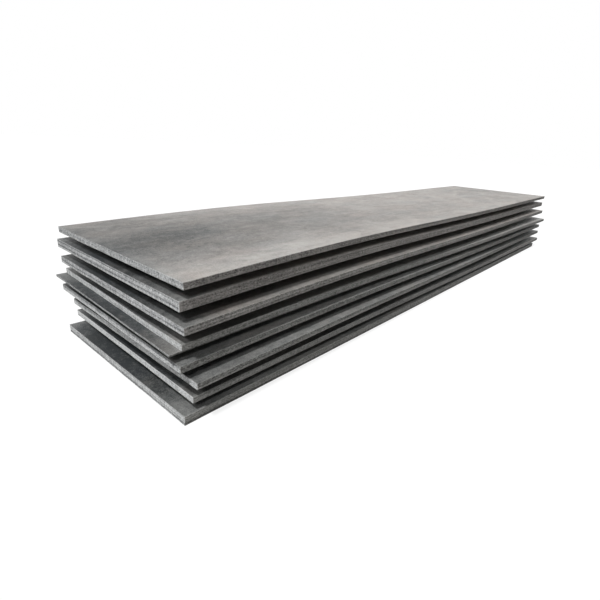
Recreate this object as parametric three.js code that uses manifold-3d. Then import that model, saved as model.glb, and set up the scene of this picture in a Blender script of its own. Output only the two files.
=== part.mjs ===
// A loose stack of nine hot-rolled steel plates, stored flat on timber battens.
// Millimetres, +Z up, +X along the plates, origin on the floor under the stack's middle.
import * as THREE from 'three';
import { mergeVertices } from 'three/addons/utils/BufferGeometryUtils.js';
import Module from 'manifold-3d';

const plateLength = 8000;
const plateWidth = 1800;
const cornerRadius = 8; // left by the cutting torch
const cornerSteps = 6;
const nearBend = 2400; // a plate's near end bows down over this length
const farBend = 5000; // and its far end over this one
const sagStart = 1360; // from here to its far end it sags
const bendPitch = 240;

const battenWidth = 90;
const battenLength = 1400;
const battenStations = { a: 1100, b: 3000, c: 5000, d: 6900 }; // from the near end of the plates
const smallestGap = 10; // with less room than this, a plate lies straight on the one below
const clearance = 0.3; // between a batten and the plates that it touches
const mergeDistance = 0.001;

// The plates from the floor up. gap is the room below a plate, which its battens fill.
// shift is how far its near corner lies off the top plate's, along and across.
// turn is in degrees, lift is how much higher its left edge lies than its right one,
// droop is how far its near and far ends bow down, and sag how far its middle does.
const lay = [
  { number: 9, thickness: 66, gap: 0, shift: [-36, 1], turn: -0.11, lift: 0, droop: [0, 0], sag: 0 },
  { number: 8, thickness: 48, gap: 70, shift: [36, 10], turn: -0.48, lift: 9, droop: [11, 13], sag: 15 },
  { number: 7, thickness: 45, gap: 99, shift: [19, -67], turn: 0.2, lift: 8, droop: [14, 18], sag: 15 },
  { number: 6, thickness: 48, gap: 72, shift: [-46, 3], turn: -0.35, lift: 24, droop: [25, 9], sag: 15 },
  { number: 5, thickness: 14, gap: 57, shift: [-84, 54], turn: -0.88, lift: 29, droop: [26, 9], sag: 15 },
  { number: 4, thickness: 44, gap: 2, shift: [-7, 42], turn: -0.96, lift: 29, droop: [26, 9], sag: 15 },
  { number: 3, thickness: 52, gap: 95, shift: [-24, -22], turn: -0.07, lift: 21, droop: [37, 2], sag: 15 },
  { number: 2, thickness: 66, gap: 82, shift: [-20, 20], turn: -0.09, lift: 9, droop: [38, 3], sag: 15 },
  { number: 1, thickness: 46, gap: 67, shift: [0, 0], turn: 0, lift: 0, droop: [38, 0], sag: 15 },
];

const millSteel = new THREE.MeshStandardMaterial({
  color: 0x8b8a88,
  roughness: 0.55,
  metalness: 0.6,
  flatShading: true,
});
const timber = new THREE.MeshStandardMaterial({
  color: 0x7a6650,
  roughness: 0.9,
  metalness: 0,
  flatShading: true,
});

const wasm = await Module();
wasm.setup();

function toSolid(geometry) {
  const bare = geometry.clone();
  bare.deleteAttribute('normal');
  bare.deleteAttribute('uv');
  const merged = mergeVertices(bare, mergeDistance);
  return new wasm.Manifold(new wasm.Mesh({
    numProp: 3,
    vertProperties: new Float32Array(merged.attributes.position.array),
    triVerts: new Uint32Array(merged.index.array),
  }));
}

function toGeometry(solid) {
  const { vertProperties, triVerts } = solid.getMesh();
  return meshGeometry(new Float32Array(vertProperties), new Uint32Array(triVerts));
}

function meshGeometry(places, triangles) {
  const geometry = new THREE.BufferGeometry();
  geometry.setAttribute('position', new THREE.BufferAttribute(places, 3));
  geometry.setIndex(new THREE.BufferAttribute(triangles, 1));
  geometry.computeVertexNormals();
  return geometry;
}

// How far below a flat plate's place it lies: each end bows down along a parabola,
// and the middle sags along a smooth wave.
function bowAt({ droop: [near, far], sag }, along) {
  const nearPart = Math.max(0, 1 - along / nearBend);
  const farPart = Math.max(0, 1 - (plateLength - along) / farBend);
  const sagPart = Math.max(0, (along - sagStart) / (plateLength - sagStart));
  return -near * nearPart ** 2 - far * farPart ** 2 - sag * Math.sin(Math.PI * sagPart) ** 2;
}

// Where a plate's cross sections lie along it, and how far each stands in from the
// long edges: close together round the corners, then evenly spaced for the bends.
function sectionPlaces() {
  const places = [];
  for (let i = 0; i <= cornerSteps; i += 1) {
    const angle = (Math.PI / 2) * (i / cornerSteps);
    const along = cornerRadius * (1 - Math.cos(angle));
    const inset = cornerRadius * (1 - Math.sin(angle));
    places.push({ along, inset }, { along: plateLength - along, inset });
  }
  for (let along = bendPitch; along < plateLength - cornerRadius; along += bendPitch) {
    places.push({ along, inset: 0 });
  }
  return places.sort((a, b) => a.along - b.along);
}

// The four corners of each section, lofted into one closed body. extra makes it
// thicker on both faces, for cutting its neighbours.
function plateGeometry(plate, extra = 0) {
  const sections = sectionPlaces();
  const places = [];
  for (const { along, inset } of sections) {
    const left = plateWidth - inset;
    const bottom = bowAt(plate, along) - extra;
    const top = bowAt(plate, along) + plate.thickness + extra;
    places.push(along, inset, bottom, along, left, bottom, along, left, top, along, inset, top);
  }
  const triangles = [];
  const addQuad = (a, b, c, d) => triangles.push(a, b, c, a, c, d);
  const last = 4 * (sections.length - 1);
  for (let here = 0; here < last; here += 4) {
    const ahead = here + 4;
    for (let side = 0; side < 4; side += 1) {
      const next = (side + 1) % 4;
      addQuad(here + side, here + next, ahead + next, ahead + side);
    }
  }
  addQuad(0, 3, 2, 1);
  addQuad(last, last + 1, last + 2, last + 3);
  return meshGeometry(new Float32Array(places), new Uint32Array(triangles));
}

function placePlate(object, plate) {
  object.position.set(plate.shift[0], plate.shift[1], plate.height);
  object.rotation.order = 'ZYX';
  object.rotation.x = Math.atan(plate.lift / plateWidth);
  object.rotation.z = THREE.MathUtils.degToRad(plate.turn);
  object.updateMatrixWorld();
}

// What a batten must not enter: the plate, thicker by the clearance on each face.
function cutter(plate) {
  const holder = new THREE.Object3D();
  placePlate(holder, plate);
  return toSolid(plateGeometry(plate, clearance).applyMatrix4(holder.matrixWorld));
}

// Height of a plate's mid-thickness, midway across the stack.
function midHeight(plate, along) {
  const bow = bowAt(plate, along - plate.shift[0]);
  return plate.height + plate.thickness / 2 + plate.lift / 2 + bow;
}

// A batten reaches from one plate's mid-thickness to the next one's,
// and is cut back to the tapering room between the two.
function battenGeometry(lower, upper, station) {
  const from = midHeight(lower, station);
  const to = midHeight(upper, station);
  const meanLift = (lower.lift + upper.lift) / 2;
  const block = new THREE.BoxGeometry(battenWidth, battenLength, to - from);
  block.rotateX(Math.atan(meanLift / plateWidth));
  block.translate(station, plateWidth / 2, (from + to) / 2);
  return toGeometry(toSolid(block).subtract(cutter(lower)).subtract(cutter(upper)));
}

function piece(name, geometry, material) {
  const mesh = new THREE.Mesh(geometry, material.clone());
  mesh.name = name;
  return mesh;
}

const stack = new THREE.Group();
let height = 0;
for (const plate of lay) {
  plate.height = height + plate.gap;
  height = plate.height + plate.thickness;
  const mesh = piece(`plate_${plate.number}`, plateGeometry(plate), millSteel);
  placePlate(mesh, plate);
  stack.add(mesh);
}

for (let i = 1; i < lay.length; i += 1) {
  const lower = lay[i - 1];
  const upper = lay[i];
  if (upper.gap < smallestGap) continue;
  for (const [letter, station] of Object.entries(battenStations)) {
    const name = `batten_${upper.number}_${letter}`;
    stack.add(piece(name, battenGeometry(lower, upper, station), timber));
  }
}

// The origin goes on the floor, under the middle of the stack.
stack.updateMatrixWorld(true);
const box = new THREE.Box3().setFromObject(stack, true);
const middle = box.getCenter(new THREE.Vector3());
stack.position.set(-middle.x, -middle.y, -box.min.z);
stack.updateMatrixWorld(true);

export default stack;
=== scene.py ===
import math
import random

import bpy
from mathutils import Matrix, Vector, noise


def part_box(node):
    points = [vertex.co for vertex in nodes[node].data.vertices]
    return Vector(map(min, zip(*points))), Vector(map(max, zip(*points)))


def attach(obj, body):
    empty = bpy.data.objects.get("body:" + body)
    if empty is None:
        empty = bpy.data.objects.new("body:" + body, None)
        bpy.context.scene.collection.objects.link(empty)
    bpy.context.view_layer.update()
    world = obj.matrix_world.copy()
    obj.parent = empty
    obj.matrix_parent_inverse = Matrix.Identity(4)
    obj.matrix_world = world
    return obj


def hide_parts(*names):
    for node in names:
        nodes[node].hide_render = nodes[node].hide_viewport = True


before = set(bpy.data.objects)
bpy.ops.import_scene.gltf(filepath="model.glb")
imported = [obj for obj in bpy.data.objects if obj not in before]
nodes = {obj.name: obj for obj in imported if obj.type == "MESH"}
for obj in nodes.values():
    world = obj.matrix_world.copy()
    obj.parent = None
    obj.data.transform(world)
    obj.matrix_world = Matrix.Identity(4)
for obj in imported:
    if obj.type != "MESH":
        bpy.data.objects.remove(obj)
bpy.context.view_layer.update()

plateNames = sorted(name for name in nodes if name.startswith("plate_"))
battenNames = sorted(name for name in nodes if name.startswith("batten_"))
print("frame loaded:", len(plateNames), "plates,", len(battenNames), "battens")

mergeDistance = 0.00005  # joins the loose triangles of a CAD node
smoothAngle = math.radians(40)  # sharper corners stay sharp
steepNormal = 0.5  # the normal of a cut face rises less than this
levelNormal = 0.97  # and that of the top or the underside more than this


class Wire:
    # one output of a shader node, which can be used in sums
    def __init__(self, shader, socket):
        self.shader = shader
        self.socket = socket

    def __add__(self, other):
        return self.shader.maths("ADD", self, other)

    def __radd__(self, other):
        return self.shader.maths("ADD", other, self)

    def __sub__(self, other):
        return self.shader.maths("SUBTRACT", self, other)

    def __rsub__(self, other):
        return self.shader.maths("SUBTRACT", other, self)

    def __mul__(self, other):
        return self.shader.maths("MULTIPLY", self, other)

    def __rmul__(self, other):
        return self.shader.maths("MULTIPLY", other, self)

    def clamp(self):
        return self.shader.maths("MINIMUM", self.shader.maths("MAXIMUM", self, 0.0), 1.0)

    def swing(self, amount):  # a pattern lies about 0.5, and its swing about 0
        return (self - 0.5) * amount

    def between(self, low, high):  # 0 below low, 1 above high, smooth in between
        settings = {"interpolation_type": "SMOOTHSTEP"}
        inputs = {"Value": self, "From Min": low, "From Max": high}
        return self.shader.node("ShaderNodeMapRange", settings, inputs)["Result"]


class Outputs:
    def __init__(self, shader, made):
        self.shader = shader
        self.made = made

    def __getitem__(self, key):
        return Wire(self.shader, self.made.outputs[key])


class Shader:
    def __init__(self, tree):
        self.tree = tree
        tree.nodes.clear()

    def node(self, kind, settings=None, inputs=None):
        made = self.tree.nodes.new(kind)
        for key, value in (settings or {}).items():
            setattr(made, key, value)
        for key, value in (inputs or {}).items():
            self.feed(made.inputs[key], value)
        return Outputs(self, made)

    def feed(self, socket, value):
        if isinstance(value, Wire):
            self.tree.links.new(value.socket, socket)
        else:
            socket.default_value = value

    def maths(self, operation, *values):
        inputs = dict(enumerate(values))
        return self.node("ShaderNodeMath", {"operation": operation}, inputs)["Value"]

    def mix(self, factor, first, second):
        # the colour sockets of a Mix node are inputs 6 and 7, and output 2
        inputs = {0: factor, 6: asColour(first), 7: asColour(second)}
        return self.node("ShaderNodeMix", {"data_type": "RGBA"}, inputs)[2]

    def noise(self, at, scale, detail, roughness=0.5, distortion=0.0):
        inputs = {"Vector": at, "Scale": scale, "Detail": detail, "Roughness": roughness,
                  "Distortion": distortion}
        return self.node("ShaderNodeTexNoise", None, inputs)["Fac"]

    def stretched(self, at, scale, shift=(0.0, 0.0, 0.0)):
        inputs = {"Vector": at, "Scale": scale, "Location": shift}
        return self.node("ShaderNodeMapping", None, inputs)["Vector"]

    def place(self):
        return self.node("ShaderNodeTexCoord")["Object"]

    def parted(self, at):
        split = self.node("ShaderNodeSeparateXYZ", None, {"Vector": at})
        return split["X"], split["Y"], split["Z"]

    def painted(self, name):  # a value that the mesh carries at its points
        return self.node("ShaderNodeAttribute", {"attribute_name": name})["Fac"]

    def bump(self, height, distance, strength):
        inputs = {"Height": height, "Distance": distance, "Strength": strength}
        return self.node("ShaderNodeBump", None, inputs)["Normal"]

    def finish(self, inputs):
        surface = self.node("ShaderNodeBsdfPrincipled", None, inputs)["BSDF"]
        self.node("ShaderNodeOutputMaterial", None, {"Surface": surface})


def asColour(value):
    return value if isinstance(value, Wire) else (*value, 1.0)


def newMaterial(name):
    material = bpy.data.materials.new(name)
    material.use_nodes = True
    return material, Shader(material.node_tree)


# mill scale, on the top and the underside of each plate
scaleLook = {
    "coolDark": (0.0265, 0.0302, 0.0328),
    "warmDark": (0.0300, 0.0306, 0.0280),
    "coolLight": (0.316, 0.318, 0.307),
    "warmLight": (0.346, 0.316, 0.294),
    "worn": (0.40, 0.39, 0.38),
    "metallic": 0.25,
    "roughness": 0.56,
    "gloss": 0.35,
    "cleanTone": 0.565,  # from dark to light, where nothing stains it
    "layers": (1.0, 1.0, 9.0),  # each plate lies in its own slice of the patterns
    "cloudScale": 1.3,
    "smearScale": (3.0, 7.0, 1.0),
    "mottleScale": 20.0,
    "grainScale": 110.0,
    "tintScale": (2.0, 5.0, 1.0),
    "tintShift": (3.0, 1.0, 0.0),
    "wearScale": 150.0,
    "cloudTone": 0.5,  # how much each pattern changes the tone
    "smearTone": 0.75,
    "mottleTone": 0.75,
    "grainTone": 1.0,
    "evenStain": 0.4,  # part of a stain that no pattern breaks up
    "brokenStain": 0.6,  # part that the clouds break up, and the smears as much again
    "tintWarmth": 1.6,
    "stainedWarmth": 0.7,  # part of the warmth that a full stain takes away
    # the cool near end is painted shade: the bluish tone that the shaded strips at the near end take on
    "coolEnd": 0.3,  # how far from the near end the scale turns warm
    "topCoolEnd": 0.02,  # on the top plate
    # the band is painted light: the scale is lighter along the long edges, where the open strips catch
    # the light, and darker further in, as painted shade between the plates
    "bandTone": 0.14,  # how much lighter the long edges are
    "bandWidth": 0.4,
    "wornPart": 0.6,
    "mottleRoughness": 0.2,
    "toneRoughness": 0.06,
    "grainBump": 0.3,
    "mottleBump": 0.7,
    "bumpDepth": 0.0015,
    "bumpStrength": 0.5,
}


def millScale():
    look = scaleLook
    material, shader = newMaterial("millScale")
    at = shader.place()
    layered = shader.stretched(at, look["layers"])
    smeared = shader.stretched(layered, look["smearScale"])
    tinted = shader.stretched(layered, look["tintScale"], look["tintShift"])
    clouds = shader.noise(layered, look["cloudScale"], detail=4.0, roughness=0.55, distortion=0.5)
    smears = shader.noise(smeared, 1.0, detail=5.0, roughness=0.6, distortion=0.8)
    mottle = shader.noise(layered, look["mottleScale"], detail=4.0, roughness=0.65)
    grain = shader.noise(at, look["grainScale"], detail=3.0, roughness=0.7)
    tint = shader.noise(tinted, 1.0, detail=3.0)

    broken = look["evenStain"] + clouds * look["brokenStain"] + smears * look["brokenStain"]
    # on the top plate this also carries painted reflection, besides the stains
    stain = shader.painted("stain") * broken
    # the band adds painted light along the long edges
    tone = look["cleanTone"] + shader.painted("band") * look["bandTone"] - stain
    tone = tone + clouds.swing(look["cloudTone"]) + smears.swing(look["smearTone"])
    tone = tone + mottle.swing(look["mottleTone"]) + grain.swing(look["grainTone"])
    tone = tone.clamp()
    warmth = (shader.painted("warmth") + tint.swing(look["tintWarmth"])).clamp()

    dark = shader.mix(warmth, look["coolDark"], look["warmDark"])
    light = shader.mix(warmth, look["coolLight"], look["warmLight"])
    colour = shader.mix(tone, dark, light)
    worn = wearMask(shader, at, look["wearScale"]) * look["wornPart"]
    colour = shader.mix(worn, colour, look["worn"])
    roughness = look["roughness"] + mottle.swing(look["mottleRoughness"])
    roughness = roughness - tone * look["toneRoughness"]
    height = grain * look["grainBump"] + mottle * look["mottleBump"]
    normal = shader.bump(height, look["bumpDepth"], look["bumpStrength"])
    shader.finish({"Base Color": colour, "Metallic": look["metallic"], "Roughness": roughness,
                   "Specular IOR Level": look["gloss"], "Normal": normal})
    return material


# where the edges are rubbed, small chips of bare steel show
wearLook = {
    "chipsFrom": 0.4,
    "chipsFull": 0.65,
    "strength": 0.5,
}


def wearMask(shader, at, scale):
    chips = shader.noise(at, scale, detail=4.0, roughness=0.65)
    chips = chips.between(wearLook["chipsFrom"], wearLook["chipsFull"])
    return (shader.painted("wear") * chips * wearLook["strength"]).clamp()


# the cut faces, which run round the ends and the sides of each plate
cutLook = {
    "worn": (0.45, 0.45, 0.44),
    "metallic": 0.15,
    "roughness": 0.7,
    "toneRoughness": 0.1,
    "gloss": 0.20,
    "lineScale": 9.0,  # how close the fine lines lie up the face
    "blotchScale": 14.0,
    "dragStretch": (1.0, 1.0, 0.3),  # the torch's drag marks stand upright
    "dragScale": 80.0,
    "wearScale": 60.0,
    "farRange": (-2.0, 5.0),  # where along the stack the far tone comes in
    "lineCore": 0.3,  # part of a dark line's half width that is fully dark
    "streakBump": 0.4,
    "dragBump": 0.4,
    "gritBump": 0.2,
    "bumpDepth": 0.002,
    "bumpStrength": 0.6,
}

# the tones of the ends and of the sides, along which part of x and y their lines run, and
# how much the lines, the blotches, the drag marks and the grit show
cutKinds = {
    "end": {
        "dark": (0.12, 0.124, 0.127),
        "light": (0.670, 0.682, 0.678),
        "along": (0.0, 1.5),
        "streaks": 1.2,
        "blotches": 0.6,
        "dragMarks": 1.7,
        "grit": 2.2,
        "gritScale": (60.0, 60.0, 110.0),
        "far": 0.0,  # how much darker the far part is
    },
    "side": {
        "dark": (0.070, 0.070, 0.065),
        "light": (0.506, 0.502, 0.478),
        "along": (1.5, 0.0),
        "streaks": 1.1,
        "blotches": 0.4,
        "dragMarks": 0.6,
        "grit": 1.9,
        "gritScale": (50.0, 50.0, 110.0),
        "far": 0.3,
    },
}


def reddened(colour, amount):
    red, green, blue = colour
    return red * (1 + amount), green, blue


def cutFace(name, kind, toneAndShade):
    look = cutLook
    material, shader = newMaterial(name)
    at = shader.place()
    x, y, z = shader.parted(at)
    rise = shader.painted("rise")
    along = x * kind["along"][0] + y * kind["along"][1]
    axes = {"X": along, "Y": rise * look["lineScale"], "Z": z * look["lineScale"]}
    lineAt = shader.node("ShaderNodeCombineXYZ", None, axes)["Vector"]
    dragAt = shader.stretched(at, look["dragStretch"])
    gritAt = shader.stretched(at, kind["gritScale"])
    streaks = shader.noise(lineAt, 1.0, detail=3.0, roughness=0.6)
    blotches = shader.noise(at, look["blotchScale"], detail=3.0, roughness=0.6)
    dragMarks = shader.noise(dragAt, look["dragScale"], detail=4.0, roughness=0.75)
    grit = shader.noise(gritAt, 1.0, detail=4.0, roughness=0.72)

    # painted shade: the face darkens to the left, as the light falls off, and from foot to top, as the
    # plates above and below shade and light it
    tone = toneAndShade["tone"] - y * toneAndShade["left"] - rise.swing(toneAndShade["up"])
    # painted shade: the sides darken towards the far end of the stack
    tone = tone - x.between(*look["farRange"]) * kind["far"]
    for place, halfWidth, strength in toneAndShade["lines"]:
        away = shader.maths("ABSOLUTE", rise - place)
        tone = tone - (1 - away.between(halfWidth * look["lineCore"], halfWidth)) * strength
    tone = tone + streaks.swing(kind["streaks"]) + blotches.swing(kind["blotches"])
    tone = tone + dragMarks.swing(kind["dragMarks"]) + grit.swing(kind["grit"])
    tone = tone.clamp()

    dark, light = (reddened(kind[key], toneAndShade["redder"]) for key in ("dark", "light"))
    colour = shader.mix(tone, dark, light)
    colour = shader.mix(wearMask(shader, at, look["wearScale"]), colour, look["worn"])
    roughness = look["roughness"] - tone * look["toneRoughness"]
    height = streaks * look["streakBump"] + dragMarks * look["dragBump"] + grit * look["gritBump"]
    normal = shader.bump(height, look["bumpDepth"], look["bumpStrength"])
    shader.finish({"Base Color": colour, "Metallic": look["metallic"], "Roughness": roughness,
                   "Specular IOR Level": look["gloss"], "Normal": normal})
    return material


plateShape = {
    "arris": 0.002,  # rounding of every edge
    "margin": 0.006,  # how far the rubbed edge reaches over the scale
    "lengthPitch": 0.10,  # grid over the faces
    "widthPitch": 0.05,
    "rowHeight": 0.006,  # rows up the cut faces
    "sideWander": 0.0015,  # how far the cut wanders in
    "endWander": 0.003,
    "wanderScale": 5.0,
    "relief": 0.0012,  # finer unevenness, new in each row
    "reliefScale": 27.0,
    "lineDepth": 0.004,  # of a line as dark as can be
    "lineReach": 0.05,  # the rows that sink with it, as a part of the thickness
    "wornEdge": 0.05,  # part of the thickness, next to each edge, that is rubbed bright
    "wornCorner": 0.3,  # a rim that faces at least this much both ways is rubbed too
    "seed": 0.37,  # gives each plate its own unevenness, from the letters of its name
    "rowSeed": 40.0,  # and each row of it
    "broadArea": 1.0,  # only the top and the underside are larger
    "uprightLean": 0.003,  # how far an upright edge may lean
}


def cutToneAndShade(tone, left=0.0, up=0.0, lines=(), redder=0.0):
    # left and up paint shade: how much darker the face gets for each metre to the left, as the light
    # falls off, and from foot to top, as the plates above and below shade and light it; each line has
    # its place up the face, its half width and how much darker it is
    return {"tone": tone, "left": left, "up": up, "lines": lines, "redder": redder}


# the tones and painted shade of each plate's ends and sides, how much darker its scale is, and how warm
platesToneAndShade = {
    "plate_1": {
        "end": cutToneAndShade(0.41, left=0.06),
        "side": cutToneAndShade(0.24, up=0.14, redder=0.045),
        "scale": 0.0,
        "warmth": 0.7,
    },
    "plate_2": {
        "end": cutToneAndShade(0.51, left=0.10, lines=[(0.86, 0.13, 0.48), (0.32, 0.18, 0.38)]),
        "side": cutToneAndShade(0.37, redder=0.045),
        "scale": -0.02,
        "warmth": 0.7,
    },
    "plate_3": {
        "end": cutToneAndShade(0.47, left=0.10, lines=[(0.44, 0.18, 0.34)]),
        "side": cutToneAndShade(0.34, lines=[(0.56, 0.14, -0.16), (0.30, 0.12, 0.12)], redder=0.03),
        "scale": 0.02,
        "warmth": 0.75,
    },
    "plate_4": {
        "end": cutToneAndShade(0.66, left=0.02),
        "side": cutToneAndShade(0.39),
        "scale": -0.12,
        "warmth": 0.1,
    },
    "plate_5": {
        "end": cutToneAndShade(0.20),
        "side": cutToneAndShade(0.24),
        "scale": -0.02,
        "warmth": 0.1,
    },
    "plate_6": {
        # the wide dark band at the top of this end is painted shade, cast by plate 5, which sticks out
        # above it
        "end": cutToneAndShade(0.60, left=0.04, lines=[(0.88, 0.45, 0.45)]),
        "side": cutToneAndShade(0.25),
        "scale": 0.10,
        "warmth": 0.1,
    },
    "plate_7": {
        # this end darkens upwards as painted shade of plate 6 above it, and the side is lighter at its
        # foot as painted light thrown up from plate 8 below
        "end": cutToneAndShade(0.54, up=0.15),
        "side": cutToneAndShade(0.27, up=0.30),
        "scale": 0.18,
        "warmth": 0.1,
    },
    "plate_8": {
        "end": cutToneAndShade(0.73),
        "side": cutToneAndShade(0.37),
        "scale": 0.10,
        "warmth": 0.1,
    },
    "plate_9": {
        "end": cutToneAndShade(0.57, left=0.06, lines=[(0.14, 0.24, 0.42)]),
        "side": cutToneAndShade(0.36, lines=[(0.12, 0.20, 0.35)]),
        "scale": 0.06,
        "warmth": 0.1,
    },
}

# soft dark areas of the scale, and on the top plate two painted reflections: centre x and y, half
# length, half width, strength; below 0 the strength makes it lighter
topStainsAndSheen = [
    (-3.74, 0.09, 0.74, 0.34, 0.29),
    (-2.95, 0.0, 1.9, 0.62, 0.19),
    (-3.85, 0.76, 0.6, 0.31, 0.27),
    (-3.80, -0.36, 0.7, 0.20, 0.09),
    # these two paint the bright sky's grazing reflection, lighter along the front edge and over the far
    # part
    (-2.5, -0.84, 2.0, 0.20, -0.21),
    (1.4, 0.1, 3.2, 1.1, -0.17),
]
nearEndStain = (-4.05, 0.22, 0.9, 1.02, 0.53)
strayStains = {
    "count": 5,  # on each lower plate, besides the one at its near end
    "x": (-3.0, 4.0),
    "y": (-0.9, 0.9),
    "halfLength": (0.4, 1.5),
    "halfWidth": (0.2, 0.7),
    "strength": (-0.1, 0.25),
}


def makeActive(piece):
    bpy.ops.object.select_all(action="DESELECT")
    piece.select_set(True)
    bpy.context.view_layer.objects.active = piece


def copyOfNode(node, name):
    piece = bpy.data.objects.new(name, node.data.copy())
    bpy.context.scene.collection.objects.link(piece)
    piece.data.materials.clear()
    makeActive(piece)
    bpy.ops.object.mode_set(mode="EDIT")
    bpy.ops.mesh.select_all(action="SELECT")
    bpy.ops.mesh.remove_doubles(threshold=mergeDistance)
    bpy.ops.object.mode_set(mode="OBJECT")
    return piece


def selectOnly(kind, parts, wanted):
    bpy.ops.object.mode_set(mode="EDIT")
    bpy.ops.mesh.select_mode(type=kind)
    bpy.ops.mesh.select_all(action="DESELECT")
    bpy.ops.object.mode_set(mode="OBJECT")
    for part in parts:
        part.select = wanted(part)
    bpy.ops.object.mode_set(mode="EDIT")


def selectFaces(piece, wanted):
    selectOnly("FACE", piece.data.polygons, wanted)


def selectEdges(piece, keys):
    selectOnly("EDGE", piece.data.edges, lambda edge: edge.key in keys)


def isRim(face):  # a cut face, at an end or a side
    return abs(face.normal.z) < steepNormal


def joinBroadFaces(piece):
    # the top and the underside become one face each, and the cut faces become quads
    selectFaces(piece, lambda face: not isRim(face))
    bpy.ops.mesh.dissolve_faces()
    bpy.ops.object.mode_set(mode="OBJECT")
    selectFaces(piece, isRim)
    bpy.ops.mesh.tris_convert_to_quads(face_threshold=math.radians(1), shape_threshold=math.radians(60))
    bpy.ops.object.mode_set(mode="OBJECT")


def arrisEdges(piece):
    # where a cut face meets the top or the underside
    kinds = {}
    for face in piece.data.polygons:
        for key in face.edge_keys:
            kinds.setdefault(key, set()).add(isRim(face))
    return {key for key, found in kinds.items() if len(found) == 2}


def roundArrises(piece):
    selectEdges(piece, arrisEdges(piece))
    bpy.ops.mesh.bevel(offset=plateShape["arris"], segments=2, affect="EDGES")
    bpy.ops.object.mode_set(mode="OBJECT")


def insetBroadFaces(piece):
    selectFaces(piece, lambda face: face.area > plateShape["broadArea"])
    bpy.ops.mesh.inset(thickness=plateShape["margin"], depth=0.0)
    bpy.ops.object.mode_set(mode="OBJECT")


def paint(piece, name, values):
    layer = piece.data.attributes.new(name, "FLOAT", "POINT")
    layer.data.foreach_set("value", values)


def markRise(piece):
    # 1 at the top of the plate, 0 at its underside; later cuts fill in between
    data = piece.data
    total = [0.0] * len(data.vertices)
    for face in data.polygons:
        for index in face.vertices:
            total[index] += face.normal.z
    paint(piece, "rise", [1.0 if amount > 0 else 0.0 for amount in total])


def uprightEdges(piece):
    data = piece.data
    rise = [entry.value for entry in data.attributes["rise"].data]
    ends = {edge.key: edge.vertices for edge in data.edges}
    return {key for key, (first, second) in ends.items() if rise[first] != rise[second]}


def plateThickness(node):
    # height of the tallest upright edge
    corners = node.data.vertices
    runs = [corners[edge.vertices[0]].co - corners[edge.vertices[1]].co for edge in node.data.edges]
    return max(abs(run.z) for run in runs if run.xy.length < plateShape["uprightLean"])


def steps(low, high, pitch):
    count = max(1, round((high - low) / pitch))
    return [low + (high - low) * i / count for i in range(1, count)]


def cutAcross(places, direction):
    for place in places:
        bpy.ops.mesh.select_all(action="SELECT")
        bpy.ops.mesh.bisect(plane_co=direction * place, plane_no=direction)


def cutGrid(piece, low, high, thickness):
    bpy.ops.object.mode_set(mode="EDIT")
    cutAcross(steps(low.x, high.x, plateShape["lengthPitch"]), Vector((1, 0, 0)))
    cutAcross(steps(low.y, high.y, plateShape["widthPitch"]), Vector((0, 1, 0)))
    bpy.ops.object.mode_set(mode="OBJECT")
    selectEdges(piece, uprightEdges(piece))
    cuts = max(1, round(thickness / plateShape["rowHeight"]) - 1)
    bpy.ops.mesh.subdivide_edgering(number_cuts=cuts, interpolation="LINEAR", smoothness=0.0)
    bpy.ops.object.mode_set(mode="OBJECT")


def giveMaterials(piece, name, scale):
    # chosen by the true faces, before they are roughened
    end = cutFace(name + "_end", cutKinds["end"], platesToneAndShade[name]["end"])
    side = cutFace(name + "_side", cutKinds["side"], platesToneAndShade[name]["side"])
    for material in (scale, end, side):
        piece.data.materials.append(material)
    for face in piece.data.polygons:
        if isRim(face):
            face.material_index = 1 if abs(face.normal.x) > abs(face.normal.y) else 2


def outwardAtRim(piece):
    # level outward direction at each vertex of the cut faces and their arrises
    outward = {}
    for face in piece.data.polygons:
        if abs(face.normal.z) < levelNormal:
            for index in face.vertices:
                level = Vector((face.normal.x, face.normal.y, 0))
                outward[index] = outward.get(index, Vector()) + level
    return {index: total.normalized() for index, total in outward.items() if total.length > 0}


def unitNoise(place, scale, seed):  # from 0 to 1
    value = noise.noise(Vector((place.x * scale + seed, place.y * scale - seed, seed)))
    return max(0.0, min(1.0, 0.5 + value * 0.9))


def roughenRim(piece, endLines):
    # the cut only ever goes inwards from the true edge
    shape = plateShape
    data = piece.data
    seed = sum(ord(letter) for letter in piece.name) * shape["seed"]
    rise = [entry.value for entry in data.attributes["rise"].data]
    wear = [0.0] * len(rise)
    for index, outward in outwardAtRim(piece).items():
        vertex = data.vertices[index]
        height = rise[index]
        isEnd = abs(outward.x) > abs(outward.y)
        isCorner = min(abs(outward.x), abs(outward.y)) > shape["wornCorner"]
        wander = shape["endWander" if isEnd else "sideWander"]
        amount = wander * unitNoise(vertex.co, shape["wanderScale"], seed)
        if 0 < height < 1:
            rowSeed = seed + height * shape["rowSeed"]
            amount += shape["relief"] * unitNoise(vertex.co, shape["reliefScale"], rowSeed)
        if isCorner or min(height, 1 - height) < shape["wornEdge"]:
            wear[index] = 1.0
        if isEnd and outward.x < 0:
            for place, _, strength in endLines:
                if abs(height - place) < shape["lineReach"]:
                    amount += shape["lineDepth"] * strength
        vertex.co -= outward * amount
    paint(piece, "wear", wear)


def softBlob(place, blob):
    x, y, halfLength, halfWidth, strength = blob
    distance = math.hypot((place.x - x) / halfLength, (place.y - y) / halfWidth)
    return strength * math.exp(-distance ** 3)


def lowerStains(name):
    random.seed(name)
    spots = [nearEndStain]
    ranges = [strayStains[key] for key in ("x", "y", "halfLength", "halfWidth", "strength")]
    for _ in range(strayStains["count"]):
        spots.append(tuple(random.uniform(least, most) for least, most in ranges))
    return spots


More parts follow.
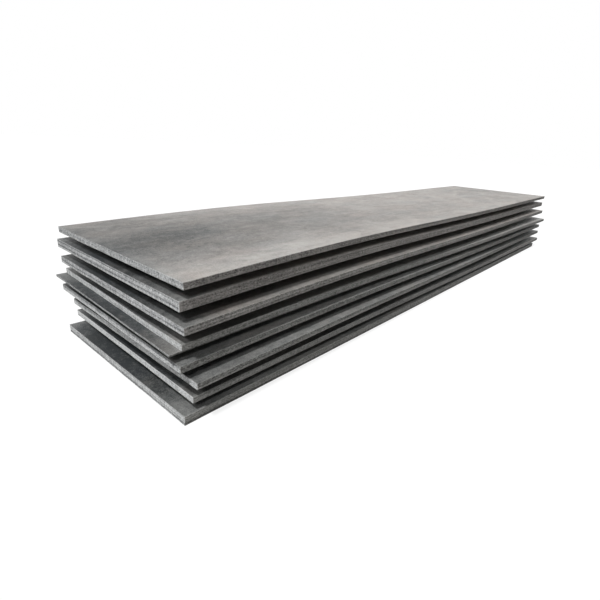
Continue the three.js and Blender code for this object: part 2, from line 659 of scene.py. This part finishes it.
def paintScale(piece, name, low, high):
    onTop = name == "plate_1"
    spots = topStainsAndSheen if onTop else lowerStains(name)
    coolEnd = scaleLook["topCoolEnd" if onTop else "coolEnd"]
    toneAndShade = platesToneAndShade[name]
    stains, warmths, bands = [], [], []
    for vertex in piece.data.vertices:
        place = vertex.co
        # on the top plate this also holds painted reflection, besides the stains
        stain = toneAndShade["scale"] + sum(softBlob(place, spot) for spot in spots)
        # painted shade: the scale stays cool, the bluish tone of shade, close to the near end
        fromEnd = min(1.0, (place.x - low.x) / coolEnd)
        kept = 1 - max(0.0, stain) * scaleLook["stainedWarmth"]
        inset = min(place.y - low.y, high.y - place.y)
        stains.append(stain)
        warmths.append(toneAndShade["warmth"] * fromEnd * kept)
        # painted light along the long edges, fading to painted shade further in
        bands.append(max(0.0, 1.0 - inset / scaleLook["bandWidth"]))
    paint(piece, "stain", stains)
    paint(piece, "warmth", warmths)
    paint(piece, "band", bands)


def dressPlate(name, scale):
    piece = copyOfNode(nodes[name], "steel_" + name)
    low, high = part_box(name)
    joinBroadFaces(piece)
    roundArrises(piece)
    insetBroadFaces(piece)
    markRise(piece)
    cutGrid(piece, low, high, plateThickness(nodes[name]))
    giveMaterials(piece, name, scale)
    roughenRim(piece, platesToneAndShade[name]["end"]["lines"])
    paintScale(piece, name, low, high)
    makeActive(piece)
    bpy.ops.object.shade_smooth_by_angle(angle=smoothAngle)
    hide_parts(name)
    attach(piece, "root")


battenLook = {
    "arris": 0.003,
    "dark": (0.10, 0.075, 0.05),
    "light": (0.30, 0.235, 0.165),
    "roughness": 0.85,
    "grainScale": (60.0, 3.0, 60.0),  # the grain runs along y
    "sawScale": (8.0, 160.0, 8.0),  # and the saw marks across it
    "stainScale": 5.0,
    "grainTone": 0.9,
    "sawTone": 0.25,
    "stainTone": 0.7,
    "grainBump": 0.6,
    "sawBump": 0.4,
    "bumpDepth": 0.0015,
    "bumpStrength": 0.6,
}


def sawnTimber():
    look = battenLook
    material, shader = newMaterial("sawnTimber")
    at = shader.place()
    grainAt = shader.stretched(at, look["grainScale"])
    sawAt = shader.stretched(at, look["sawScale"])
    grain = shader.noise(grainAt, 1.0, detail=5.0, roughness=0.6, distortion=0.8)
    sawMarks = shader.noise(sawAt, 1.0, detail=2.0)
    stains = shader.noise(at, look["stainScale"], detail=3.0)
    tone = grain * look["grainTone"] + stains.swing(look["stainTone"]) + sawMarks.swing(look["sawTone"])
    colour = shader.mix(tone.clamp(), look["dark"], look["light"])
    height = grain * look["grainBump"] + sawMarks * look["sawBump"]
    normal = shader.bump(height, look["bumpDepth"], look["bumpStrength"])
    shader.finish({"Base Color": colour, "Roughness": look["roughness"], "Normal": normal})
    return material


def dressBatten(name, timber):
    piece = copyOfNode(nodes[name], "timber_" + name)
    bpy.ops.object.mode_set(mode="EDIT")
    bpy.ops.mesh.select_all(action="SELECT")
    bpy.ops.mesh.dissolve_limited(angle_limit=math.radians(1))
    bpy.ops.object.mode_set(mode="OBJECT")
    rounding = piece.modifiers.new("rounding", "BEVEL")
    rounding.width = battenLook["arris"]
    rounding.segments = 2
    rounding.limit_method = "ANGLE"
    rounding.angle_limit = smoothAngle
    bpy.ops.object.modifier_apply(modifier=rounding.name)
    piece.data.materials.append(timber)
    bpy.ops.object.shade_smooth_by_angle(angle=smoothAngle)
    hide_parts(name)
    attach(piece, "root")


stageLook = {
    "floorSize": 160.0,
    "floorColour": (0.16, 0.16, 0.16),
    "floorGlow": (0.79, 0.79, 0.79),
    "floorRoughness": 0.9,
    "ambient": 0.045,
}

# soft lights: strength, spread in degrees, and the direction each shines from
lights = {
    "overhead": (0.2, 60.0, (0.0, 0.0, 1.0)),
    "main": (3.2, 5.0, (-0.455, -0.10, 0.885)),
    "front": (1.2, 4.0, (-0.64, -0.42, 0.64)),
    "back": (1.4, 20.0, (0.66, 0.66, 0.36)),
}
fillLights = ["back"]  # these give no highlights


def seenDirectly(shader):
    # 1 for what the camera sees, also in gloss, and 0 for what only gives light
    rays = shader.node("ShaderNodeLightPath")
    return (rays["Is Camera Ray"] + rays["Is Glossy Ray"] + rays["Is Transmission Ray"]).clamp()


def layFloor():
    bpy.ops.mesh.primitive_plane_add(size=stageLook["floorSize"], location=(0, 0, 0))
    floor = bpy.context.active_object
    floor.name = "floor"
    material, shader = newMaterial("paleFloor")
    colour = asColour(stageLook["floorColour"])
    glow = shader.mix(seenDirectly(shader), (0.0, 0.0, 0.0), stageLook["floorGlow"])
    shader.finish({"Base Color": colour, "Roughness": stageLook["floorRoughness"],
                   "Emission Color": glow, "Emission Strength": 1.0})
    floor.data.materials.append(material)


def lightWorld():
    world = bpy.data.worlds.new("studio")
    bpy.context.scene.world = world
    world.use_nodes = True
    shader = Shader(world.node_tree)
    strength = stageLook["ambient"] + seenDirectly(shader) * (1.0 - stageLook["ambient"])
    inputs = {"Color": (1, 1, 1, 1), "Strength": strength}
    glow = shader.node("ShaderNodeBackground", None, inputs)["Background"]
    shader.node("ShaderNodeOutputWorld", None, {"Surface": glow})


def hangLight(name, strength, spread, fromWhere):
    bpy.ops.object.light_add(type="SUN", location=(0, 0, 6))
    light = bpy.context.active_object
    light.name = name
    light.data.energy = strength
    light.data.angle = math.radians(spread)
    light.rotation_euler = Vector(fromWhere).to_track_quat("Z", "Y").to_euler()
    light.visible_glossy = name not in fillLights


cameraPlace = {
    "spot": (-5.149, -2.7362, 1.6885),
    "turn": 49.193,  # degrees from +Y towards +X
    "down": 21.186,
    "roll": 3.464,
    "lens": 24.491,
    "sensor": 36.0,
    "reach": 300.0,  # how far it sees
}


def placeCamera():
    turn, down, roll = (math.radians(cameraPlace[key]) for key in ("turn", "down", "roll"))
    look = Vector((math.sin(turn) * math.cos(down), math.cos(turn) * math.cos(down), -math.sin(down)))
    right = Vector((math.cos(turn), -math.sin(turn), 0))
    up = right.cross(look)
    tiltedRight = right * math.cos(roll) + up * math.sin(roll)
    tiltedUp = up * math.cos(roll) - right * math.sin(roll)
    axes = Matrix((tiltedRight, tiltedUp, -look)).transposed().to_4x4()
    bpy.ops.object.camera_add()
    camera = bpy.context.active_object
    camera.matrix_world = Matrix.Translation(cameraPlace["spot"]) @ axes
    camera.data.lens = cameraPlace["lens"]
    camera.data.sensor_width = cameraPlace["sensor"]
    camera.data.clip_end = cameraPlace["reach"]
    bpy.context.scene.camera = camera


scale = millScale()
for plateName in plateNames:
    dressPlate(plateName, scale)
print("plates made")

timber = sawnTimber()
for battenName in battenNames:
    dressBatten(battenName, timber)
print("battens made")

layFloor()
lightWorld()
for lightName, settings in lights.items():
    hangLight(lightName, *settings)
placeCamera()
bpy.context.scene.view_settings.view_transform = "Standard"
print("stage, light and camera set")
